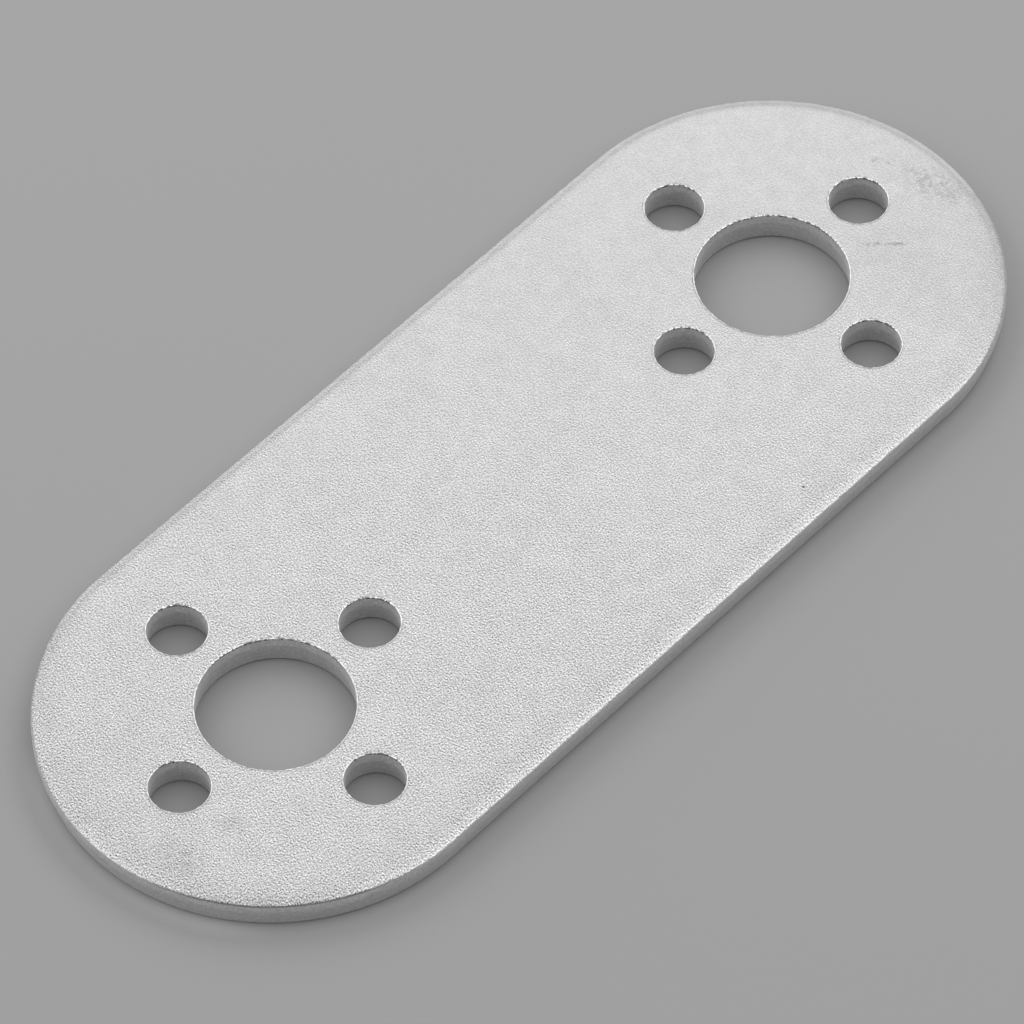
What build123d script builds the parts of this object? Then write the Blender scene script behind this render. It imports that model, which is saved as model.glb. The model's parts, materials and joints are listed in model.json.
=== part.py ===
from build123d import *
import os

# Servo bracket: a flat arm with round ends, stamped from aluminium sheet in one stroke.
# Each end takes one servo disc: the disc's hub sits in the bore, and its screws go through
# the holes on the circle round it. X runs along the arm, Z points up, and the origin is the
# middle of the underside. All sizes are in millimetres.

# Sheet and outline
sheet_thickness = 2.0
arm_width = 25.0
bore_spacing = 38.2

# Holes at each end
bore_diameter = 8.25
screw_hole_diameter = 3.15
screw_hole_count = 4
metal_between_holes = 1.3

# Stamping draws the upper face down along the outline, and less so round each hole
outline_roll_width = 0.9
outline_roll_depth = 0.2
hole_roll_width = 0.22
hole_roll_depth = 0.045

# Below the roll a stamped cut is clean and upright, down to the first share of the sheet's
# thickness. From there the metal has broken away, and falls back by the second share along
# the outline, and by the third in the punched holes
clean_cut_share = 0.45
outline_break_share = 0.13
hole_break_share = 0.08

# The burr along every lower edge is dressed off
dressed_edge_width = 0.1

end_radius = arm_width / 2
screw_circle_diameter = bore_diameter + screw_hole_diameter + 2 * metal_between_holes
clean_cut_foot = sheet_thickness * (1 - clean_cut_share)
outline_break_back = sheet_thickness * outline_break_share
hole_break_back = sheet_thickness * hole_break_share
punch_overrun = sheet_thickness


def blank_section():
    """The sheet from its middle out to the stamped edge, drawn outwards along X and up Y."""
    roll_start = (end_radius - outline_roll_width, sheet_thickness)
    roll_foot = (end_radius, sheet_thickness - outline_roll_depth)
    roll = TangentArc(roll_start, roll_foot, tangent=(1, 0))
    rest = Polyline(
        roll_foot,
        (end_radius, clean_cut_foot),
        (end_radius - outline_break_back, 0),
        (0, 0),
        (0, sheet_thickness),
        roll_start,
    )
    return make_face([roll, rest])


def blank():
    """The arm without its holes: a straight run between two half rounds of one section."""
    section = Plane.YZ * blank_section()
    side = extrude(Pos(-bore_spacing / 2, 0, 0) * section, bore_spacing)
    sides = side + mirror(side, Plane.XZ)
    right_end = Pos(bore_spacing / 2, 0, 0) * revolve(section, Axis.Z, -180)
    return sides + right_end + mirror(right_end, Plane.YZ)


def punched_hole(diameter):
    """What one punch takes out about Z: the roll at its mouth, the clean cut and the break."""
    radius = diameter / 2
    roll_start = (radius + hole_roll_width, sheet_thickness)
    roll_foot = (radius, sheet_thickness - hole_roll_depth)
    roll = TangentArc(roll_start, roll_foot, tangent=(-1, 0))
    rest = Polyline(
        roll_foot,
        (radius, clean_cut_foot),
        (radius + hole_break_back, 0),
        (radius + hole_break_back, -punch_overrun),
        (0, -punch_overrun),
        (0, sheet_thickness + punch_overrun),
        (roll_start[0], sheet_thickness + punch_overrun),
        roll_start,
    )
    return revolve(Plane.XZ * make_face([roll, rest]), Axis.Z)


def hole_group():
    """The bore for the hub, and the screw holes on their circle with one along the arm."""
    screw_hole = punched_hole(screw_hole_diameter)
    circle = PolarLocations(screw_circle_diameter / 2, screw_hole_count)
    return [punched_hole(bore_diameter)] + [place * screw_hole for place in circle]


def stamped_plate():
    """The blank with a group of holes at each end, and its burrs dressed off."""
    plate = blank()
    for end in (-1, 1):
        plate -= [Pos(end * bore_spacing / 2, 0, 0) * hole for hole in hole_group()]
    lower_edges = plate.edges().filter_by_position(Axis.Z, 0, 0)
    return chamfer(lower_edges, dressed_edge_width)


os.makedirs("parts", exist_ok=True)
export_step(stamped_plate(), "parts/plate.step")
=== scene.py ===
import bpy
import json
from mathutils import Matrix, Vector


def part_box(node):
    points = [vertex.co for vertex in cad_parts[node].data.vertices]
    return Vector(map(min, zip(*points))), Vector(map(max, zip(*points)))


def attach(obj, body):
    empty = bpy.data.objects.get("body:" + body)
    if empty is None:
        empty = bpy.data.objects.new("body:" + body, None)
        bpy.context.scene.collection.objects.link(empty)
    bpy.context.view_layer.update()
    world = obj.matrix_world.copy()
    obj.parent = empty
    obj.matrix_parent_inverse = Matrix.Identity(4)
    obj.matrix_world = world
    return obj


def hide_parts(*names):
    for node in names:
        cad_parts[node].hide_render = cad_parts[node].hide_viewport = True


bl_info = {
    "name": "Servo bracket",
    "version": (1, 0, 0),
    "blender": (4, 5, 0),
    "location": "3D View > Sidebar > Bracket",
    "description": "Models the stamped bracket over its frame, with its blasted finish and a stage",
    "category": "Object",
}

import json
import math

import bmesh
import bpy
from mathutils import Matrix, Vector

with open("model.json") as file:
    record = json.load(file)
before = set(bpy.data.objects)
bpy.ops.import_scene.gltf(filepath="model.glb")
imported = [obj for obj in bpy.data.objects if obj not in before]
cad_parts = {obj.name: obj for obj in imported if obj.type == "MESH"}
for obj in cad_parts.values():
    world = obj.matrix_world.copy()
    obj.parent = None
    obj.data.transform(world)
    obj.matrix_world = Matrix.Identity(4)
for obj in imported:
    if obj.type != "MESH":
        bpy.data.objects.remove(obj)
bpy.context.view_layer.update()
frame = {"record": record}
LOW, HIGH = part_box("plate")
MILLIMETRE = 0.001

# Marks that handling has left on the upper face: middle, half length and half width in
# millimetres, turn in degrees, and share of the full smudge
HANDLING = (
    ((29.6, -2.2), (2.9, 1.5), -80, 0.55),
    ((29.3, 0.4), (0.5, 0.35), -46, 0.6),
    ((28.9, 1.1), (0.5, 0.3), -46, 0.6),
    ((24.3, -2.6), (0.6, 0.25), -46, 0.9),
    ((25.1, -3.5), (0.8, 0.2), -46, 0.9),
    ((-29.3, -2.9), (2.3, 1.4), -60, 0.35),
    ((-26.1, -3.6), (1.2, 0.8), -60, 0.3),
    ((-31.0, 2.5), (1.3, 0.8), -60, 0.3),
)
# Wide patches where the face is a little darker, given in the same way
DARKER_PATCHES = (
    ((26.5, -6.5), (9.0, 6.0), -60, 0.05),
    ((-29.5, 2.0), (9.0, 6.0), 90, 0.03),
)
# One dark pit in the face: middle and radius in millimetres, and how much darker it is
PIT = (9.45, -10.71)
PIT_RADIUS = 0.11
PIT_DEPTH = 0.75

# Steps down the roll, the corner, the cut and the break of an edge
OUTLINE_STEPS = (7, 5, 5, 8)
HOLE_STEPS = (3, 3, 3, 4)
# Steps round the outline's two half rounds, a bore and a screw hole
OUTLINE_TURNS = 784
BORE_TURNS = 480
SCREW_TURNS = 192
# Cuts across each straight side, and then across each piece that they leave
SIDE_CUTS = (20, 18)
# Edges flatter than this are shaded smooth
SMOOTH_ANGLE = math.radians(35)

# From a dimple of the grain to its lee, where its painted shade falls, across the rows and along
# them, in dimples
GRAIN_SHADE_OFFSET = (0.45, -0.88)
# Places along the blast, in millimetres, where the grain starts to fade and where it has, and
# the share of it that is left there
GRAIN_FADE = (-14.0, 31.0)
FADED_GRAIN = 0.2
# Places along the blast, in millimetres, between which the painted shade of the near end gives way
# to the painted light of the far one
BLAST_REACH = (-24.0, 24.0)


def mount(name):
    """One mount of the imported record."""
    return next(m for m in frame["record"]["mounts"] if m["name"] == name)


BORE = mount("hub_bore_right")
SCREWS = mount("disc_screws_right")


class BracketSizes(bpy.types.PropertyGroup):
    """The plate's outline and its two groups of holes."""

    thickness: bpy.props.FloatProperty(
        name="Thickness",
        description="Thickness of the sheet",
        default=HIGH.z - LOW.z,
        unit="LENGTH",
    )
    end_radius: bpy.props.FloatProperty(
        name="End radius",
        description="Radius of each round end, half the plate's width",
        default=HIGH.y,
        unit="LENGTH",
    )
    bore_offset: bpy.props.FloatProperty(
        name="Bore offset",
        description="From the plate's middle to the middle of each bore",
        default=BORE["pos_m"][0],
        unit="LENGTH",
    )
    bore_radius: bpy.props.FloatProperty(
        name="Bore radius",
        description="Radius of the bore for a disc's hub",
        default=BORE["dims"]["r_mm"] * MILLIMETRE,
        unit="LENGTH",
    )
    circle_radius: bpy.props.FloatProperty(
        name="Screw circle radius",
        description="From a bore's middle to the middle of each screw hole",
        default=SCREWS["dims"]["pcd_mm"] / 2 * MILLIMETRE,
        unit="LENGTH",
    )
    screw_radius: bpy.props.FloatProperty(
        name="Screw hole radius",
        description="Radius of a screw hole",
        default=SCREWS["dims"]["hole_r_mm"] * MILLIMETRE,
        unit="LENGTH",
    )
    screw_count: bpy.props.IntProperty(
        name="Screw holes",
        description="Number of screw holes round each bore",
        default=SCREWS["dims"]["count"],
    )


class StampingSizes(bpy.types.PropertyGroup):
    """The form that the stamping tool leaves along every edge."""

    outline_roll_width: bpy.props.FloatProperty(
        name="Outline roll width",
        description="How far in from the outline the upper face starts to draw down",
        default=0.0009,
        unit="LENGTH",
    )
    outline_roll_depth: bpy.props.FloatProperty(
        name="Outline roll depth",
        description="How far the upper face has drawn down at the outline",
        default=0.0002,
        unit="LENGTH",
    )
    hole_roll_width: bpy.props.FloatProperty(
        name="Hole roll width",
        description="How far out from a hole the upper face starts to draw down",
        default=0.00022,
        unit="LENGTH",
    )
    hole_roll_depth: bpy.props.FloatProperty(
        name="Hole roll depth",
        description="How far the upper face has drawn down at a hole",
        default=0.000045,
        unit="LENGTH",
    )
    outline_corner: bpy.props.FloatProperty(
        name="Outline corner",
        description="Radius between the roll and the upright cut along the outline",
        default=0.00015,
        unit="LENGTH",
    )
    hole_corner: bpy.props.FloatProperty(
        name="Hole corner",
        description="Radius between the roll and the upright cut in a hole",
        default=0.00005,
        unit="LENGTH",
        precision=6,
    )
    clean_cut_share: bpy.props.FloatProperty(
        name="Clean cut",
        description="Share of the thickness down to which the cut is clean and upright",
        default=0.45,
        subtype="FACTOR",
    )
    outline_break_share: bpy.props.FloatProperty(
        name="Outline break",
        description="How far the break falls back along the outline, as a share of the thickness",
        default=0.13,
        subtype="FACTOR",
    )
    hole_break_share: bpy.props.FloatProperty(
        name="Hole break",
        description="How far the break falls back in a hole, as a share of the thickness",
        default=0.08,
        subtype="FACTOR",
    )
    dressed_edge: bpy.props.FloatProperty(
        name="Dressed edge",
        description="Width of the bevel left where the burr was dressed off the lower edges",
        default=0.0001,
        unit="LENGTH",
    )
    rim_wear: bpy.props.FloatProperty(
        name="Rim wear",
        description="How far blasting has worn the outline's rim back, at most",
        default=0.00004,
        unit="LENGTH",
        precision=6,
    )
    hole_wear: bpy.props.FloatProperty(
        name="Hole wear",
        description="How far blasting has worn the holes' rims back, at most",
        default=0.00006,
        unit="LENGTH",
        precision=6,
    )
    break_roughness: bpy.props.FloatProperty(
        name="Break roughness",
        description="How deep the broken part of the edge is pitted",
        default=0.00003,
        unit="LENGTH",
    )


class FinishSettings(bpy.types.PropertyGroup):
    """Colours and grain of the metal, with the light and shade painted into them."""

    face_colour: bpy.props.FloatVectorProperty(
        name="Blasted face",
        description="Colour of the blasted faces",
        default=(0.565, 0.565, 0.568),
        subtype="COLOR",
        min=0.0,
        max=1.0,
    )
    # Lighter than the face: a painted highlight along the holes' rims
    rim_colour: bpy.props.FloatVectorProperty(
        name="Rubbed rim",
        description="Colour of the holes' rims, where screws and hubs have rubbed them bright",
        default=(0.92, 0.92, 0.923),
        subtype="COLOR",
        min=0.0,
        max=1.0,
    )
    cut_colour: bpy.props.FloatVectorProperty(
        name="Clean cut",
        description="Colour of the clean cut",
        default=(0.72, 0.72, 0.723),
        subtype="COLOR",
        min=0.0,
        max=1.0,
    )
    break_colour: bpy.props.FloatVectorProperty(
        name="Broken edge",
        description="Colour of the broken part of the edge",
        default=(0.66, 0.66, 0.663),
        subtype="COLOR",
        min=0.0,
        max=1.0,
    )
    face_roughness: bpy.props.FloatProperty(
        name="Face roughness",
        description="How matt the blasted faces are",
        default=0.44,
        subtype="FACTOR",
    )
    rim_roughness: bpy.props.FloatProperty(
        name="Rim roughness",
        description="How matt the roll along the outline and the holes' rims are",
        default=0.36,
        subtype="FACTOR",
    )
    wall_roughness: bpy.props.FloatProperty(
        name="Wall roughness",
        description="How matt the cut edges are",
        default=0.9,
        subtype="FACTOR",
    )
    grain_size: bpy.props.FloatProperty(
        name="Grain size",
        description="Size of one dimple of the blasted grain",
        default=0.00009,
        unit="LENGTH",
        precision=6,
    )
    grain_turn: bpy.props.FloatProperty(
        name="Grain turn",
        description="How far the rows of dimples are turned from the blast",
        default=math.radians(27),
        subtype="ANGLE",
    )
    # Painted shade: the lee of each dimple darkened as if lit from beyond the plate
    grain_shade: bpy.props.FloatProperty(
        name="Grain shade",
        description="How dark the lee of a dimple is, as a share of its bright side",
        default=0.35,
        subtype="FACTOR",
    )
    # The blast runs the way the camera looks; the finish's painted light and shade are laid out
    # along it
    blast_heading: bpy.props.FloatProperty(
        name="Blast heading",
        description="Direction of the blast, turned from the plate's width",
        default=math.radians(46.36),
        subtype="ANGLE",
    )
    grain_depth: bpy.props.FloatProperty(
        name="Grain depth",
        description="How strongly the grain lightens and darkens the metal",
        default=2.1,
    )
    # Painted light: the face darker at the end nearer the camera and lighter at the far end
    painted_end_light: bpy.props.FloatProperty(
        name="Dull end",
        description="How much darker the face is at the near end of the blast than at the far end",
        default=0.09,
        subtype="FACTOR",
    )
    # Painted shade: the face darker towards every edge but the far sides, which face away from the
    # camera
    painted_edge_shade: bpy.props.FloatProperty(
        name="Dull edge",
        description="How much darker the face gets towards the edges that the blast missed",
        default=0.06,
        subtype="FACTOR",
    )
    # Painted shade: the roll darker at the end that faces the camera
    painted_nose_shade: bpy.props.FloatProperty(
        name="Dull nose",
        description="How much darker the roll is at the end turned from the blast",
        default=0.11,
        subtype="FACTOR",
    )
    # Painted highlight: the roll brighter along the far sides, which face away from the camera
    painted_edge_highlight: bpy.props.FloatProperty(
        name="Bright edge",
        description="How much brighter the roll is along the sides that the blast struck",
        default=0.22,
        subtype="FACTOR",
    )
    near_glint: bpy.props.FloatProperty(
        name="Near glint",
        description="How much brighter the rim is along the sides next to the dull nose",
        default=0.18,
        subtype="FACTOR",
    )
    # Painted shadow: a fine dark line under the outline's rim, at the end that faces the camera
    painted_rim_shadow: bpy.props.FloatProperty(
        name="Rim line",
        description="How dark the fine line under the rim is, at the end turned from the blast",
        default=0.5,
        subtype="FACTOR",
    )
    # Painted shade: the lowest part of every edge darker, where it meets the floor
    painted_foot_shade: bpy.props.FloatProperty(
        name="Foot grime",
        description="How much darker the lowest part of every edge is",
        default=0.6,
        subtype="FACTOR",
    )
    smudge: bpy.props.FloatProperty(
        name="Smudge",
        description="How dark the handling marks are",
        default=0.5,
        subtype="FACTOR",
    )


class StageSettings(bpy.types.PropertyGroup):
    """Floor, light and camera."""

    floor_colour: bpy.props.FloatVectorProperty(
        name="Floor",
        description="Colour of the floor",
        default=(0.37, 0.37, 0.37),
        subtype="COLOR",
        min=0.0,
        max=1.0,
    )
    # Painted shade: the floor darker in front of the plate, towards the camera, than beyond it
    painted_floor_shade: bpy.props.FloatProperty(
        name="Floor fade",
        description="How much darker the floor is in front of the plate than beyond it",
        default=0.07,
        subtype="FACTOR",
    )
    # Painted light on the floor: these two lighten the plate's shadow at the foot of its left end
    # and of its near sides
    foot_light: bpy.props.FloatProperty(
        name="Foot light",
        description="How much lighter the floor is at the foot of the plate's left end",
        default=0.27,
        subtype="FACTOR",
    )
    near_light: bpy.props.FloatProperty(
        name="Near light",
        description="How much lighter the floor is at the foot of the plate's near sides",
        default=0.13,
        subtype="FACTOR",
    )
    floor_width: bpy.props.FloatProperty(
        name="Floor width",
        description="Length of the floor's sides",
        default=4.0,
        unit="LENGTH",
    )
    light_level: bpy.props.FloatProperty(
        name="Light level",
        description="Strength of the light from all round",
        default=0.3,
    )
    main_softbox: bpy.props.FloatProperty(
        name="Main softbox",
        description="Strength that the softbox beyond and above the plate adds",
        default=0.5,
    )
    main_elevation: bpy.props.FloatProperty(
        name="Main elevation",
        description="How far above the floor the main softbox stands",
        default=math.radians(17),
        subtype="ANGLE",
    )
    main_spread: bpy.props.FloatProperty(
        name="Main spread",
        description="From the middle of the main softbox to its soft edge",
        default=math.radians(62),
        subtype="ANGLE",
    )
    top_softbox: bpy.props.FloatProperty(
        name="Top softbox",
        description="Strength that the softbox overhead adds",
        default=0.57,
    )
    top_spread: bpy.props.FloatProperty(
        name="Top spread",
        description="From the middle of the top softbox to its soft edge",
        default=math.radians(70),
        subtype="ANGLE",
    )
    left_softbox: bpy.props.FloatProperty(
        name="Left softbox",
        description="Strength that the softbox on the left adds",
        default=0.5,
    )
    left_elevation: bpy.props.FloatProperty(
        name="Left elevation",
        description="How far above the floor the left softbox stands",
        default=math.radians(42),
        subtype="ANGLE",
    )
    left_spread: bpy.props.FloatProperty(
        name="Left spread",
        description="From the middle of the left softbox to its soft edge",
        default=math.radians(48),
        subtype="ANGLE",
    )
    right_softbox: bpy.props.FloatProperty(
        name="Right softbox",
        description="Strength that the softbox on the right adds",
        default=0.7,
    )
    right_elevation: bpy.props.FloatProperty(
        name="Right elevation",
        description="How far above the floor the right softbox stands",
        default=math.radians(58),
        subtype="ANGLE",
    )
    right_spread: bpy.props.FloatProperty(
        name="Right spread",
        description="From the middle of the right softbox to its soft edge",
        default=math.radians(34),
        subtype="ANGLE",
    )
    dark_side: bpy.props.FloatProperty(
        name="Dark side",
        description="How much weaker the light is from low behind the camera",
        default=0.12,
    )
    dark_elevation: bpy.props.FloatProperty(
        name="Dark elevation",
        description="How far above the floor the middle of the dark side lies",
        default=math.radians(45),
        subtype="ANGLE",
    )
    dark_spread: bpy.props.FloatProperty(
        name="Dark spread",
        description="From the middle of the dark side to its soft edge",
        default=math.radians(45),
        subtype="ANGLE",
    )
    camera_azimuth: bpy.props.FloatProperty(
        name="Camera azimuth",
        description="Heading of the camera's view, turned from the plate's length",
        default=math.radians(43.638),
        subtype="ANGLE",
    )
    camera_elevation: bpy.props.FloatProperty(
        name="Camera elevation",
        description="How far above the floor the camera stands, seen from the plate",
        default=math.radians(52.289),
        subtype="ANGLE",
    )
    camera_roll: bpy.props.FloatProperty(
        name="Camera roll",
        description="How far the camera is turned about its view",
        default=math.radians(-1.164),
        subtype="ANGLE",
    )
    camera_distance: bpy.props.FloatProperty(
        name="Camera distance",
        description="From the camera to the point it aims at",
        default=0.3799,
        unit="LENGTH",
    )
    camera_aim: bpy.props.FloatVectorProperty(
        name="Camera aim",
        description="The point on the plate's upper face that the camera aims at",
        default=(-0.00193, -0.00056, 0.00197),
        subtype="TRANSLATION",
        precision=6,
    )
    lens: bpy.props.FloatProperty(
        name="Lens",
        description="Focal length of the camera",
        default=257.0,
        unit="CAMERA",
    )


def edge_section(roll_width, roll_depth, corner, break_share, steps, sizes, stamping):
    """A stamped edge, from the upper face round to the underside.

    Each point is (set back, height), in millimetres: how far it lies behind the upright cut, and
    how high above the underside. The steps are those of the roll, the corner, the cut and the
    break.
    """
    thickness = sizes.thickness / MILLIMETRE
    width = roll_width / MILLIMETRE
    depth = roll_depth / MILLIMETRE
    corner = corner / MILLIMETRE
    dressed = stamping.dressed_edge / MILLIMETRE
    margin = 0.1
    roll_steps, corner_steps, cut_steps, break_steps = steps

    roll_radius = (width**2 + depth**2) / (2 * depth)
    roll_angle = math.asin((width - corner) / (roll_radius - corner))
    points = [(width + margin, thickness)]
    for step in range(roll_steps + 1):
        angle = roll_angle * step / roll_steps
        fall = roll_radius * (1 - math.cos(angle))
        points.append((width - roll_radius * math.sin(angle), thickness - fall))
    corner_height = points[-1][1] - corner * math.cos(roll_angle)
    for step in range(1, corner_steps + 1):
        angle = roll_angle + (math.pi / 2 - roll_angle) * step / corner_steps
        points.append((corner * (1 - math.sin(angle)), corner_height + corner * math.cos(angle)))

    cut_foot = thickness * (1 - stamping.clean_cut_share)
    for step in range(1, cut_steps + 1):
        points.append((0, corner_height + (cut_foot - corner_height) * step / cut_steps))

    break_back = thickness * break_share
    for step in range(1, break_steps + 1):
        height = cut_foot + (dressed - cut_foot) * step / break_steps
        points.append((break_back * (cut_foot - height) / cut_foot, height))
    points.append((break_back + dressed, 0))
    points.append((break_back + dressed + margin, 0))
    return points


def deselect_all():
    """Nothing is selected, so that the next operator acts on what it adds alone."""
    if bpy.context.mode != "OBJECT":
        bpy.ops.object.mode_set(mode="OBJECT")
    bpy.ops.object.select_all(action="DESELECT")


def select_vertices(piece, wanted):
    """In edit mode, selects the vertices whose place passes the test."""
    bpy.ops.mesh.select_mode(type="VERT")
    bpy.ops.mesh.select_all(action="DESELECT")
    shape = bmesh.from_edit_mesh(piece.data)
    for vertex in shape.verts:
        vertex.select = wanted(vertex.co)
    shape.select_flush(True)
    bmesh.update_edit_mesh(piece.data)


def select_edges(piece, wanted):
    """In edit mode, selects the edges that pass the test."""
    bpy.ops.mesh.select_mode(type="EDGE")
    bpy.ops.mesh.select_all(action="DESELECT")
    shape = bmesh.from_edit_mesh(piece.data)
    for edge in shape.edges:
        edge.select = wanted(edge)
    bmesh.update_edit_mesh(piece.data)


def ring_stack(name, radius, outwards, section, vertices):
    """An edge of the plate as a stack of rings about Z: the first is added, the rest extruded.

    outwards is 1 where the metal ends at the radius, and -1 where it starts there.
    """
    rings = [(radius - outwards * back, height) for back, height in section]
    deselect_all()
    bpy.ops.mesh.primitive_circle_add(
        vertices=vertices, radius=rings[0][0], location=(0, 0, 0), enter_editmode=True
    )
    piece = bpy.context.object
    piece.name = name
    # Half a step of turn, so that no vertex lies where the outline is pulled apart
    half_step = math.pi / vertices
    bpy.ops.transform.rotate(value=half_step, orient_axis="Z", center_override=(0, 0, 0))
    bpy.ops.transform.translate(value=(0, 0, rings[0][1]))
    for above, below in zip(rings, rings[1:]):
        drop = below[1] - above[1]
        growth = below[0] / above[0]
        bpy.ops.mesh.extrude_region_move(TRANSFORM_OT_translate={"value": (0, 0, drop)})
        bpy.ops.transform.resize(value=(growth, growth, 1), center_override=(0, 0, 0))
    bpy.ops.object.mode_set(mode="OBJECT")
    return piece


def outline_wall(sizes, stamping):
    """The edge all round the plate: a ring stack pulled apart into two round ends."""
    section = edge_section(
        stamping.outline_roll_width,
        stamping.outline_roll_depth,
        stamping.outline_corner,
        stamping.outline_break_share,
        OUTLINE_STEPS,
        sizes,
        stamping,
    )
    radius = sizes.end_radius / MILLIMETRE
    offset = sizes.bore_offset / MILLIMETRE
    piece = ring_stack("plate_blasted", radius, 1, section, OUTLINE_TURNS)
    bpy.ops.object.mode_set(mode="EDIT")
    for side in (-1, 1):
        select_vertices(piece, lambda place: place.x * side > 0)
        bpy.ops.transform.translate(value=(side * offset, 0, 0))
    for cuts in SIDE_CUTS:
        longest = max(edge.calc_length() for edge in bmesh.from_edit_mesh(piece.data).edges)
        select_edges(piece, lambda edge: edge.calc_length() > longest / 2)
        bpy.ops.mesh.subdivide(number_cuts=cuts)
    bpy.ops.object.mode_set(mode="OBJECT")
    return piece


def hole_wall(name, radius, vertices, sizes, stamping):
    """The edge of one hole, about Z."""
    section = edge_section(
        stamping.hole_roll_width,
        stamping.hole_roll_depth,
        stamping.hole_corner,
        stamping.hole_break_share,
        HOLE_STEPS,
        sizes,
        stamping,
    )
    return ring_stack(name, radius / MILLIMETRE, -1, section, vertices)


def copied_to(piece, places):
    """The piece moved to the first place, and copies with meshes of their own at the others."""
    pieces = [piece]
    for place in places[1:]:
        deselect_all()
        piece.select_set(True)
        bpy.context.view_layer.objects.active = piece
        bpy.ops.object.duplicate(linked=False)
        pieces.append(bpy.context.object)
    for each, place in zip(pieces, places):
        deselect_all()
        each.select_set(True)
        bpy.context.view_layer.objects.active = each
        bpy.ops.transform.translate(value=place)
        bpy.ops.object.transform_apply(location=True, rotation=False, scale=False)
    return pieces


def close_faces(piece, height):
    """Fills the flat face at this height, between the outline and the holes."""
    tolerance = 0.0001
    select_edges(
        piece,
        lambda edge: edge.is_boundary
        and all(abs(vertex.co.z - height) < tolerance for vertex in edge.verts),
    )
    bpy.ops.mesh.fill()


def roughen(piece, name, wanted, strength, patches):
    """Wears back the vertices that pass the test, by up to `strength`, in patches of this size."""
    group = piece.vertex_groups.new(name=name)
    chosen = [vertex.index for vertex in piece.data.vertices if wanted(vertex.co)]
    group.add(chosen, 1.0, "REPLACE")
    clouds = bpy.data.textures.new(name, "CLOUDS")
    clouds.noise_scale = patches
    clouds.noise_depth = 2
    wear = piece.modifiers.new(name, "DISPLACE")
    wear.texture = clouds
    wear.texture_coords = "LOCAL"
    wear.direction = "NORMAL"
    wear.mid_level = 1.0
    wear.strength = strength
    wear.vertex_group = name
    bpy.ops.object.modifier_apply(modifier=name)
    piece.vertex_groups.remove(piece.vertex_groups[name])
    bpy.data.textures.remove(clouds)


class BRACKET_OT_plate(bpy.types.Operator):
    """Models the stamped plate: its edge all round, its ten holes and its two flat faces"""

    bl_idname = "bracket.plate"
    bl_label = "Stamped plate"

    def execute(self, context):
        sizes = context.scene.bracket_sizes
        stamping = context.scene.bracket_stamping
        offset = sizes.bore_offset / MILLIMETRE
        circle = sizes.circle_radius / MILLIMETRE
        thickness = sizes.thickness / MILLIMETRE

        outline = outline_wall(sizes, stamping)
        bore = hole_wall("bore", sizes.bore_radius, BORE_TURNS, sizes, stamping)
        screw = hole_wall("screw_hole", sizes.screw_radius, SCREW_TURNS, sizes, stamping)
        ends = (-offset, offset)
        turns = [math.tau * step / sizes.screw_count for step in range(sizes.screw_count)]
        holes = copied_to(bore, [(end, 0, 0) for end in ends])
        holes += copied_to(
            screw,
            [
                (end + circle * math.cos(turn), circle * math.sin(turn), 0)
                for end in ends
                for turn in turns
            ],
        )

        deselect_all()
        for piece in [outline, *holes]:
            piece.select_set(True)
        context.view_layer.objects.active = outline
        bpy.ops.object.join()
        bpy.ops.object.mode_set(mode="EDIT")
        close_faces(outline, thickness)
        close_faces(outline, 0)
        bpy.ops.mesh.select_all(action="SELECT")
        bpy.ops.mesh.normals_make_consistent(inside=False)
        bpy.ops.object.mode_set(mode="OBJECT")

        cut_foot = thickness * (1 - stamping.clean_cut_share)
        roll_foot = thickness - stamping.outline_roll_depth / MILLIMETRE
        dressed = stamping.dressed_edge / MILLIMETRE
        outline_starts = sizes.end_radius / MILLIMETRE - 1

        def near_outline(place):
            """Whether a vertex belongs to the outline, not to a hole."""
            return math.hypot(max(abs(place.x) - offset, 0), place.y) > outline_starts

        def on_break(place):
            """Whether a vertex lies on the broken part of an edge."""
            return dressed < place.z < cut_foot - 0.02

        def on_rim(place):
            """Whether a vertex lies at the outline's rim."""
            return near_outline(place) and roll_foot - 0.1 < place.z < thickness - 0.04

        def on_hole_rim(place):
            """Whether a vertex lies at the rim of a hole."""
            return not near_outline(place) and thickness - 0.15 < place.z < thickness - 0.01

        for name, wanted, wear, patches in (
            ("broken_edge", on_break, stamping.break_roughness, 0.25),
            ("worn_rim", on_rim, stamping.rim_wear, 0.15),
            ("worn_hole", on_hole_rim, stamping.hole_wear, 0.12),
        ):
            roughen(outline, name, wanted, wear / MILLIMETRE, patches)

        deselect_all()
        outline.select_set(True)
        context.view_layer.objects.active = outline
        bpy.ops.object.mode_set(mode="EDIT")
        bpy.ops.mesh.select_all(action="SELECT")
        # Modelled in millimetres so far, while the frame is in metres
        bpy.ops.transform.resize(value=(MILLIMETRE,) * 3, center_override=(0, 0, 0))
        bpy.ops.object.mode_set(mode="OBJECT")
        bpy.ops.object.shade_smooth_by_angle(angle=SMOOTH_ANGLE)
        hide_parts("plate")
        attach(outline, "root")
        return {"FINISHED"}


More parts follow.
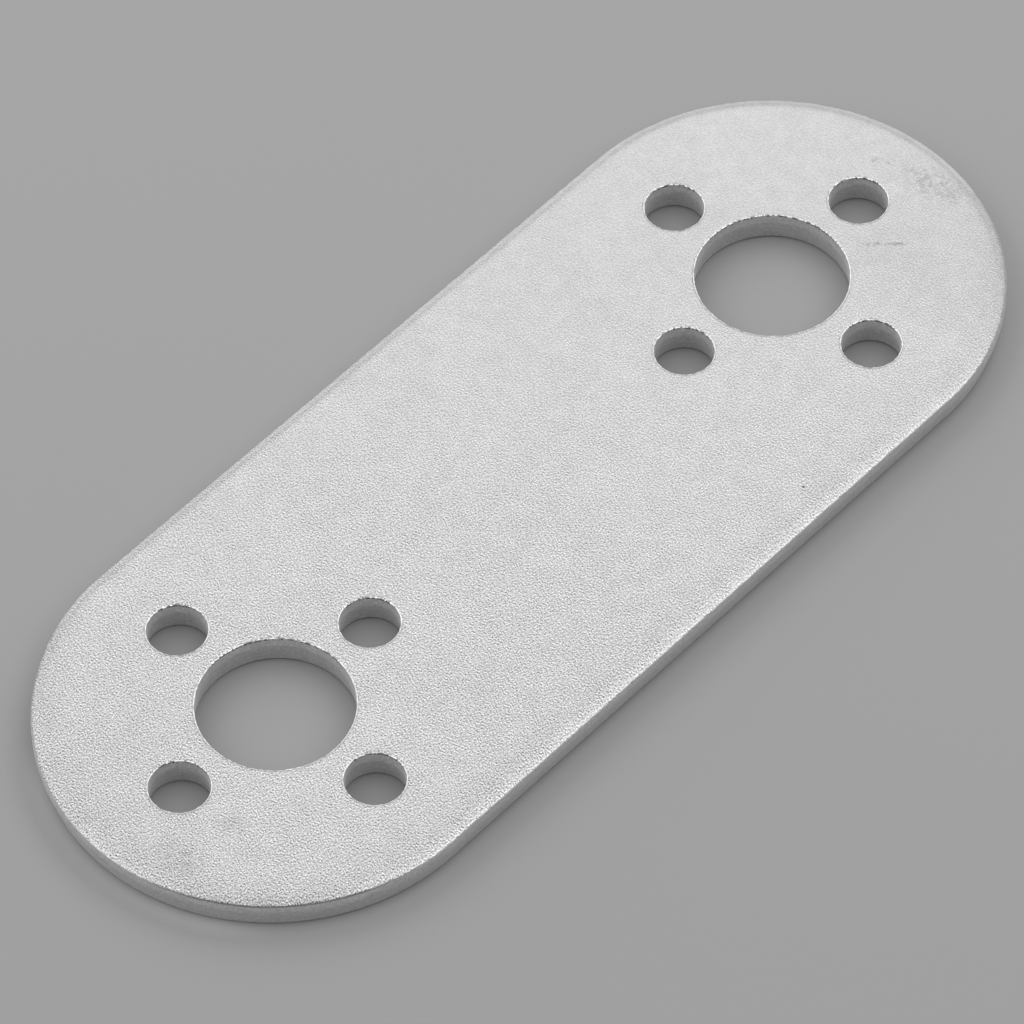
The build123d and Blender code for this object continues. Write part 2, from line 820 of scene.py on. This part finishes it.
class Wiring:
    """Adds nodes to one tree and joins them."""

    def __init__(self, tree):
        self.tree = tree
        tree.nodes.clear()

    def node(self, kind, inputs=None, **settings):
        """One node, with its sockets set to values or joined to other nodes' outputs."""
        made = self.tree.nodes.new(kind)
        for name, value in settings.items():
            setattr(made, name, value)
        for socket, value in (inputs or {}).items():
            if isinstance(value, bpy.types.NodeSocket):
                self.tree.links.new(value, made.inputs[socket])
            else:
                made.inputs[socket].default_value = value
        return made

    def mapped(self, vector, **changes):
        """A vector moved, turned or scaled."""
        return self.node("ShaderNodeMapping", {"Vector": vector, **changes}).outputs[0]

    def parts(self, vector):
        """The three numbers of a vector."""
        return tuple(self.node("ShaderNodeSeparateXYZ", {0: vector}).outputs)

    def math(self, operation, *values):
        """A calculation on one, two or three values."""
        inputs = dict(enumerate(values))
        return self.node("ShaderNodeMath", inputs, operation=operation).outputs[0]

    def times(self, *values):
        """All the values multiplied."""
        product = values[0]
        for value in values[1:]:
            product = self.math("MULTIPLY", product, value)
        return product

    def ramp(self, value, start, end, low=0.0, high=1.0):
        """`low` before start, `high` beyond end, and a soft change between them."""
        inputs = {"Value": value, "From Min": start, "From Max": end, "To Min": low, "To Max": high}
        return self.node("ShaderNodeMapRange", inputs, interpolation_type="SMOOTHSTEP").outputs[0]

    def stretch(self, value, start, end, low=0.0, high=1.0):
        """A straight change from low to high, past start and end too."""
        inputs = {"Value": value, "From Min": start, "From Max": end, "To Min": low, "To Max": high}
        return self.node("ShaderNodeMapRange", inputs, clamp=False).outputs[0]

    def noise(self, vector, scale, detail=0.0, roughness=0.5, dimensions="3D"):
        """Cloudy noise about one half."""
        inputs = {"Vector": vector, "Scale": scale, "Detail": detail, "Roughness": roughness}
        return self.node("ShaderNodeTexNoise", inputs, noise_dimensions=dimensions).outputs[0]

    def cloudy(self, vector, scale, low, high, detail=0.0, roughness=0.5):
        """Cloudy noise between two values."""
        return self.stretch(self.noise(vector, scale, detail, roughness), 0.0, 1.0, low, high)

    def length(self, x, y):
        """The length of a flat vector."""
        vector = self.node("ShaderNodeCombineXYZ", {0: x, 1: y}).outputs[0]
        return self.node("ShaderNodeVectorMath", {0: vector}, operation="LENGTH").outputs["Value"]

    def blend(self, share, first, second):
        """The first colour where the share is 0, and the second where it is 1."""
        inputs = {0: share, 6: first, 7: second}
        return self.node("ShaderNodeMix", inputs, data_type="RGBA").outputs[2]

    def mixed(self, share, first, second):
        """The first number where the share is 0, and the second where it is 1."""
        return self.node("ShaderNodeMix", {0: share, 2: first, 3: second}).outputs[0]

    def spot(self, vector, middle, size, turn):
        """1 in the middle of a soft oval spot, and 0 outside it."""
        inputs = {"Vector": vector, "Location": middle, "Rotation": (0.0, 0.0, turn), "Scale": size}
        oval = self.node("ShaderNodeMapping", inputs, vector_type="TEXTURE").outputs[0]
        radius = self.node("ShaderNodeVectorMath", {0: oval}, operation="LENGTH").outputs["Value"]
        return self.ramp(radius, 1.0, 0.3)

    def shade(self, colour, strength):
        """A colour multiplied by a number."""
        scaled = {0: colour, "Scale": strength}
        return self.node("ShaderNodeVectorMath", scaled, operation="SCALE").outputs[0]


def opaque(colour):
    """A colour setting with its alpha."""
    return (*colour, 1.0)


def past_spine(wiring, x, y, offset):
    """How far a place lies past the line between the bores' middles: lengthways, and in all."""
    spine = wiring.math("MAXIMUM", wiring.math("MINIMUM", x, offset), -offset)
    beyond = wiring.math("SUBTRACT", x, spine)
    return beyond, wiring.length(beyond, y)


def to_nearest_hole(wiring, x, y, sizes):
    """From a place on the plate to the wall of the nearest hole, in millimetres."""
    offset = sizes.bore_offset / MILLIMETRE
    along = wiring.math("SUBTRACT", wiring.math("ABSOLUTE", x), offset)
    to_bore = wiring.math("SUBTRACT", wiring.length(along, y), sizes.bore_radius / MILLIMETRE)
    # The screw holes stand a quarter turn apart, so the nearest is on the nearer axis
    across = wiring.math("ABSOLUTE", y)
    lengthways = wiring.math("ABSOLUTE", along)
    circle = sizes.circle_radius / MILLIMETRE
    far = wiring.math("SUBTRACT", wiring.math("MAXIMUM", across, lengthways), circle)
    near = wiring.math("MINIMUM", across, lengthways)
    to_screw = wiring.math("SUBTRACT", wiring.length(far, near), sizes.screw_radius / MILLIMETRE)
    return wiring.math("MINIMUM", to_bore, to_screw)


def against_blast(wiring, x, y, length, heading):
    """1 for a flat direction that looks into the blast, and -1 for one that looks away."""
    lean = wiring.math("MULTIPLY_ADD", x, math.sin(heading), wiring.times(y, math.cos(heading)))
    return wiring.math("DIVIDE", lean, length)


class PlatePlace:
    """Where a point of the plate's surface lies, as outputs of nodes, in millimetres."""

    def __init__(self, wiring, sizes, heading):
        coordinates = wiring.node("ShaderNodeTexCoord").outputs
        self.spot = wiring.mapped(coordinates["Object"], Scale=(1 / MILLIMETRE,) * 3)
        x, y, self.height = wiring.parts(self.spot)
        beyond, reach = past_spine(wiring, x, y, sizes.bore_offset / MILLIMETRE)
        self.from_outline = wiring.math("SUBTRACT", sizes.end_radius / MILLIMETRE, reach)
        self.from_hole = to_nearest_hole(wiring, x, y, sizes)
        self.turned = wiring.mapped(self.spot, Rotation=(0.0, 0.0, heading))
        self.along_blast = wiring.parts(self.turned)[1]
        # How the outline nearby looks at the blast, and how the surface itself does; the blast runs
        # the way the camera looks, so these lay out the painted light and shade
        self.side = against_blast(wiring, beyond, y, reach, heading)
        tilt_x, tilt_y, _ = wiring.parts(coordinates["Normal"])
        level = wiring.length(tilt_x, tilt_y)
        self.surface = against_blast(wiring, tilt_x, tilt_y, level, heading)


def handling_marks(wiring, place, thickness, strength):
    """What the face's tone is multiplied by: 1, and less where handling has marked it."""

    def marked(tone, middle, size, turn, *shares):
        """The tone with one more mark."""
        middle = (*middle, thickness)
        where = wiring.spot(place.spot, middle, (*size, 1.0), math.radians(turn))
        worn = wiring.times(where, *shares)
        return wiring.times(wiring.math("SUBTRACT", 1.0, worn), tone)

    specks = wiring.ramp(wiring.noise(place.spot, 3.2, 3.0, 0.75), 0.38, 0.66)
    tone = 1.0
    for middle, size, turn, share in HANDLING:
        tone = marked(tone, middle, size, turn, specks, share * strength)
    for middle, size, turn, share in DARKER_PATCHES:
        tone = marked(tone, middle, size, turn, share)
    return marked(tone, PIT, (PIT_RADIUS, PIT_RADIUS), 0.0, PIT_DEPTH)


def blasted_grain(wiring, place, finish):
    """The blasted dimples, the share of them that stands out here, and the tone they give.

    A dimple is bright, and its lee, a little way off, is dark: painted shade, as if each dimple
    were lit from beyond the plate.
    """
    fade = wiring.ramp(place.along_blast, *GRAIN_FADE, 1.0, FADED_GRAIN)
    turn = finish.grain_turn
    scale = (MILLIMETRE / finish.grain_size,) * 3
    rows = wiring.mapped(place.turned, Rotation=(0.0, 0.0, turn), Scale=scale)
    # Where each dimple's painted shade falls
    lee = wiring.mapped(rows, Location=(GRAIN_SHADE_OFFSET[0] * math.sin(turn), GRAIN_SHADE_OFFSET[1], 0.0))
    dimples = wiring.noise(rows, 1.0, 1.0, 0.5, "2D")
    shade = wiring.stretch(wiring.noise(lee, 1.0, 1.0, 0.5, "2D"), 0.0, 1.0, 0.5, -0.5)
    lit = wiring.math("MULTIPLY_ADD", shade, finish.grain_shade, dimples)
    depth = finish.grain_depth / 2
    tone = wiring.math("MULTIPLY", wiring.stretch(lit, 0.0, 1.0, -depth, depth), fade)
    return dimples, fade, tone


def cloudy_tone(wiring, place, fade, finish):
    """The rest of the face's tone: its fine speckle, and its slow drift from end to end, which is
    random clouds together with painted light, darker at the near end and lighter at the far one.
    """
    fine = wiring.cloudy(place.spot, 5.0, -0.16, 0.16, detail=1.0)
    fine = wiring.math("MULTIPLY", fine, wiring.math("SUBTRACT", 1.0, fade))
    speckle = wiring.cloudy(place.spot, 1.2, -0.12, 0.12, detail=3.0, roughness=0.6)
    speckle = wiring.math("ADD", fine, speckle)
    # Painted light: darker at the near end and lighter at the far end
    half = finish.painted_end_light / 2
    level = wiring.stretch(place.along_blast, *BLAST_REACH, 1.0 - half, 1.0 + half)
    clouds = wiring.cloudy(place.spot, 0.25, -0.04, 0.04, detail=2.0)
    return speckle, wiring.math("ADD", clouds, level)


def outline_bands(wiring, place, finish):
    """Painted light and shade in bands along the outline: what the face's tone gains there, less
    what it loses.
    """

    def band(strength, start, full, *sides):
        """A band between these distances from the outline, on the sides that look so."""
        inwards = wiring.ramp(place.from_outline, start, full, 0.0, strength)
        return wiring.times(inwards, *(wiring.ramp(place.side, *side) for side in sides))

    # Painted highlights: on the roll of the far sides, and a glint on the rim of the near sides
    # next to the nose
    struck = band(finish.painted_edge_highlight, 0.4, 0.1, (0.3, 0.6))
    glint = band(finish.near_glint, 0.25, 0.05, (-0.9, -0.78), (-0.4, -0.6))
    # Painted shade: towards every edge but the far sides, and most on the roll at the near end
    missed = band(finish.painted_edge_shade, 2.2, 0.5, (0.65, 0.35))
    nose = band(finish.painted_nose_shade, 0.8, 0.05, (-0.9, -0.99))
    gained = wiring.math("ADD", struck, glint)
    lost = wiring.math("ADD", missed, nose)
    return wiring.math("SUBTRACT", gained, lost)


def cut_walls(wiring, place, cut_foot, finish):
    """The colour of the cut edges, clean above and broken below, with painted shade at their foot,
    and the streaks down them.
    """
    lines = wiring.mapped(place.spot, Scale=(0.6, 0.6, 14.0))
    streaks = wiring.noise(lines, 1.0, 3.0, 0.6)
    wave = wiring.cloudy(place.spot, 0.9, -0.25, 0.25, detail=3.0)
    wavy_height = wiring.math("ADD", place.height, wave)
    broken = wiring.ramp(wavy_height, cut_foot + 0.35, cut_foot + 0.15)
    colour = wiring.blend(broken, opaque(finish.cut_colour), opaque(finish.break_colour))
    tone = wiring.stretch(streaks, 0.0, 1.0, 0.88, 1.12)
    pits = wiring.cloudy(place.spot, 6.0, 0.8, 1.2, detail=2.0)
    # Painted shade at the foot of the edge, where it meets the floor
    foot = wiring.ramp(place.height, 0.06, 0.18, 1.0 - finish.painted_foot_shade, 1.0)
    return wiring.shade(colour, wiring.times(tone, pits, foot)), streaks


def hole_burrs_and_shade(wiring, place):
    """0, and less at each dark burr in a hole, on the side turned from the blast, which faces the
    camera: ragged burrs, darkened there as painted shade.
    """
    burrs_and_shade = wiring.ramp(wiring.noise(place.spot, 7.0, 2.0), 0.46, 0.56, -0.75, 0.0)
    return wiring.times(wiring.ramp(place.surface, -0.4, -0.75), burrs_and_shade)


def blasted_metal(sizes, stamping, finish):
    """The plate's one material: grainy blasted faces with painted light and shade, smoother rims
    made lighter as a painted highlight, and two bands of cut edge.
    """
    material = bpy.data.materials.new("blasted_aluminium")
    material.use_nodes = True
    wiring = Wiring(material.node_tree)
    place = PlatePlace(wiring, sizes, finish.blast_heading)
    height = place.height
    thickness = sizes.thickness / MILLIMETRE
    roll_foot = thickness - stamping.outline_roll_depth / MILLIMETRE
    hole_rim = thickness - (stamping.hole_roll_depth + stamping.hole_corner) / MILLIMETRE
    cut_foot = thickness * (1 - stamping.clean_cut_share)

    dimples, fade, grain = blasted_grain(wiring, place, finish)
    speckle, drift = cloudy_tone(wiring, place, fade, finish)
    drift = wiring.math("ADD", drift, outline_bands(wiring, place, finish))
    tone = wiring.math("ADD", wiring.math("ADD", grain, speckle), drift)
    marks = handling_marks(wiring, place, thickness, finish.smudge)
    face = wiring.shade(finish.face_colour, wiring.times(tone, marks))

    # Painted shade: burrs darken the holes' rims and the top of their walls on the side that faces
    # the camera
    burrs_and_shade = hole_burrs_and_shade(wiring, place)
    rim = wiring.shade(finish.rim_colour, wiring.math("ADD", burrs_and_shade, 1.0))
    burr_reach = wiring.times(
        wiring.ramp(place.from_outline, 0.3, 0.5),
        wiring.ramp(height, hole_rim - 0.09, hole_rim - 0.02),
    )
    wall, streaks = cut_walls(wiring, place, cut_foot, finish)
    wall = wiring.shade(wall, wiring.math("MULTIPLY_ADD", burr_reach, burrs_and_shade, 1.0))

    at_wall = wiring.math(
        "MAXIMUM",
        wiring.ramp(place.from_outline, 0.07, 0.03),
        wiring.ramp(place.from_hole, 0.1, 0.06),
    )
    on_wall = wiring.times(at_wall, wiring.ramp(height, hole_rim, hole_rim - 0.02))
    below = wiring.ramp(height, cut_foot + 0.05, cut_foot)
    sides = wiring.math("MAXIMUM", on_wall, below)
    # The holes' rims: smoother, and lighter as a painted highlight
    rubbed = wiring.times(
        wiring.ramp(place.from_hole, 0.1, 0.07), wiring.ramp(height, hole_rim - 0.02, hole_rim)
    )
    # Painted shadow: a fine dark line under the outline's rim, at the end that faces the camera
    painted_rim_shadow = wiring.times(
        wiring.ramp(height, roll_foot - 0.1, roll_foot - 0.02, 0.0, finish.painted_rim_shadow),
        wiring.ramp(place.side, -0.8, -0.97),
        wiring.ramp(place.from_outline, 0.14, 0.06),
    )
    colour = wiring.blend(rubbed, face, rim)
    colour = wiring.blend(sides, colour, wall)
    colour = wiring.shade(colour, wiring.math("SUBTRACT", 1.0, painted_rim_shadow))

    dents = wiring.math("MULTIPLY", dimples, fade)
    relief = wiring.mixed(sides, dents, wiring.math("MULTIPLY", streaks, 2.0))
    bump = wiring.node(
        "ShaderNodeBump", {"Height": relief, "Strength": 0.35, "Distance": 0.02 * MILLIMETRE}
    )
    drawn = wiring.ramp(height, thickness - 0.01, roll_foot - 0.02)
    smoothed = wiring.math("MAXIMUM", drawn, rubbed)
    roughness = wiring.mixed(smoothed, finish.face_roughness, finish.rim_roughness)
    roughness = wiring.mixed(sides, roughness, finish.wall_roughness)
    metal = wiring.node(
        "ShaderNodeBsdfPrincipled",
        {
            "Base Color": colour,
            "Metallic": 1.0,
            "Roughness": roughness,
            "Normal": bump.outputs[0],
        },
    )
    wiring.node("ShaderNodeOutputMaterial", {"Surface": metal.outputs[0]})
    return material


class BRACKET_OT_finish(bpy.types.Operator):
    """Gives the plate its blasted finish"""

    bl_idname = "bracket.finish"
    bl_label = "Blasted finish"

    def execute(self, context):
        scene = context.scene
        plate = bpy.data.objects["plate_blasted"]
        material = blasted_metal(scene.bracket_sizes, scene.bracket_stamping, scene.bracket_finish)
        plate.data.materials.clear()
        plate.data.materials.append(material)
        return {"FINISHED"}


def stage_floor(settings, sizes):
    """A pale floor, with painted shade towards the camera and painted light that makes it a little
    lighter at the foot of the plate's near sides and left end.
    """
    deselect_all()
    bpy.ops.mesh.primitive_plane_add(size=settings.floor_width, location=(0, 0, 0))
    floor = bpy.context.object
    floor.name = "floor"
    material = bpy.data.materials.new("floor")
    material.use_nodes = True
    wiring = Wiring(material.node_tree)
    spot = wiring.node("ShaderNodeTexCoord").outputs["Object"]
    turned = wiring.mapped(spot, Rotation=(0.0, 0.0, -settings.camera_azimuth))
    away = wiring.parts(turned)[0]
    half = settings.painted_floor_shade / 2
    # The floor's painted shade deepens from this far beyond the plate's middle to this far in front
    # of it
    fade_reach = 0.04
    tone = wiring.ramp(away, -fade_reach, fade_reach, 1.0 - half, 1.0 + half)

    # Painted light: the floor lighter at the foot of the plate's left end and near sides, where its
    # shadow falls
    x, y, _ = wiring.parts(spot)
    beyond, reach = past_spine(wiring, x, y, sizes.bore_offset)
    gap = wiring.stretch(reach, sizes.end_radius, sizes.end_radius + MILLIMETRE)
    foot = wiring.times(wiring.ramp(gap, -1.0, -0.5), wiring.ramp(gap, 1.0, 0.0))
    rightwards = wiring.math("DIVIDE", beyond, reach)
    inwards = wiring.math("DIVIDE", y, reach)
    lift = wiring.math(
        "ADD",
        wiring.ramp(rightwards, -0.7, -0.9, 0.0, settings.foot_light),
        wiring.ramp(inwards, 0.2, -0.6, 0.0, settings.near_light),
    )
    lift = wiring.math("MULTIPLY_ADD", lift, foot, 1.0)
    colour = wiring.shade(settings.floor_colour, wiring.times(tone, lift))
    paper = wiring.node("ShaderNodeBsdfDiffuse", {"Color": colour})
    wiring.node("ShaderNodeOutputMaterial", {"Surface": paper.outputs[0]})
    floor.data.materials.append(material)


def stage_light(settings):
    """Soft light from all round, with softboxes overhead, beyond the plate and at each side."""
    world = bpy.context.scene.world or bpy.data.worlds.new("studio")
    bpy.context.scene.world = world
    world.use_nodes = True
    wiring = Wiring(world.node_tree)
    azimuth = settings.camera_azimuth
    ahead = Vector((math.cos(azimuth), math.sin(azimuth), 0.0))
    aside = Vector((math.sin(azimuth), -math.cos(azimuth), 0.0))
    up = Vector((0.0, 0.0, 1.0))
    ray = wiring.node("ShaderNodeTexCoord").outputs["Generated"]

    def lobe(way, lean, spread, strength):
        """A soft round patch of light, this far above the floor in this direction."""
        middle = math.cos(lean) * way + math.sin(lean) * up
        inputs = {0: ray, 1: middle}
        facing = wiring.node("ShaderNodeVectorMath", inputs, operation="DOT_PRODUCT")
        start, end = math.cos(spread), math.cos(spread / 2)
        return wiring.ramp(facing.outputs["Value"], start, end, 0.0, strength)

    level = settings.light_level
    for way, strength, lean, spread in (
        (ahead, settings.main_softbox, settings.main_elevation, settings.main_spread),
        (ahead, settings.top_softbox, math.pi / 2, settings.top_spread),
        (-aside, settings.left_softbox, settings.left_elevation, settings.left_spread),
        (aside, settings.right_softbox, settings.right_elevation, settings.right_spread),
    ):
        level = wiring.math("ADD", lobe(way, lean, spread, strength), level)
    dark = lobe(-ahead, settings.dark_elevation, settings.dark_spread, settings.dark_side)
    level = wiring.math("SUBTRACT", level, dark)
    level = wiring.math("MAXIMUM", level, 0.0)
    sky = wiring.node("ShaderNodeBackground", {"Color": (1.0, 1.0, 1.0, 1.0), "Strength": level})
    wiring.node("ShaderNodeOutputWorld", {"Surface": sky.outputs[0]})


def stage_camera(settings):
    """The camera, aimed from its azimuth, elevation and distance."""
    azimuth = settings.camera_azimuth
    elevation = settings.camera_elevation
    view = Vector(
        (
            math.cos(elevation) * math.cos(azimuth),
            math.cos(elevation) * math.sin(azimuth),
            -math.sin(elevation),
        )
    )
    place = Vector(settings.camera_aim) - view * settings.camera_distance
    turn = view.to_track_quat("-Z", "Y").to_matrix() @ Matrix.Rotation(settings.camera_roll, 3, "Z")
    deselect_all()
    bpy.ops.object.camera_add(location=place, rotation=turn.to_euler())
    camera = bpy.context.object
    camera.name = "camera"
    camera.data.lens = settings.lens
    camera.data.clip_start = settings.camera_distance / 10
    bpy.context.scene.camera = camera


class BRACKET_OT_stage(bpy.types.Operator):
    """Adds the floor, the soft light and the camera"""

    bl_idname = "bracket.stage"
    bl_label = "Studio stage"

    def execute(self, context):
        settings = context.scene.bracket_stage
        stage_floor(settings, context.scene.bracket_sizes)
        stage_light(settings)
        stage_camera(settings)
        context.scene.view_settings.view_transform = "Standard"
        return {"FINISHED"}


class BRACKET_PT_panel(bpy.types.Panel):
    """Lists the bracket's operators and settings"""

    bl_idname = "BRACKET_PT_panel"
    bl_label = "Servo bracket"
    bl_space_type = "VIEW_3D"
    bl_region_type = "UI"
    bl_category = "Bracket"

    def draw(self, context):
        for group, operators in PANEL_ROWS.items():
            box = self.layout.box()
            settings = getattr(context.scene, group)
            for name in settings.__annotations__:
                box.prop(settings, name)
            for operator in operators:
                box.operator(operator)


PANEL_ROWS = {
    "bracket_sizes": [],
    "bracket_stamping": ["bracket.plate"],
    "bracket_finish": ["bracket.finish"],
    "bracket_stage": ["bracket.stage"],
}
GROUPS = {
    "bracket_sizes": BracketSizes,
    "bracket_stamping": StampingSizes,
    "bracket_finish": FinishSettings,
    "bracket_stage": StageSettings,
}
CLASSES = (
    *GROUPS.values(),
    BRACKET_OT_plate,
    BRACKET_OT_finish,
    BRACKET_OT_stage,
    BRACKET_PT_panel,
)


def register():
    """Adds the classes, and the settings to the scene."""
    for each in CLASSES:
        bpy.utils.register_class(each)
    for name, group in GROUPS.items():
        setattr(bpy.types.Scene, name, bpy.props.PointerProperty(type=group))


def unregister():
    """Takes away what register added."""
    for name in GROUPS:
        delattr(bpy.types.Scene, name)
    for each in reversed(CLASSES):
        bpy.utils.unregister_class(each)


def main():
    """Makes everything in order."""
    register()
    bpy.ops.bracket.plate()
    bpy.ops.bracket.finish()
    bpy.ops.bracket.stage()


if __name__ == "__main__":
    main()
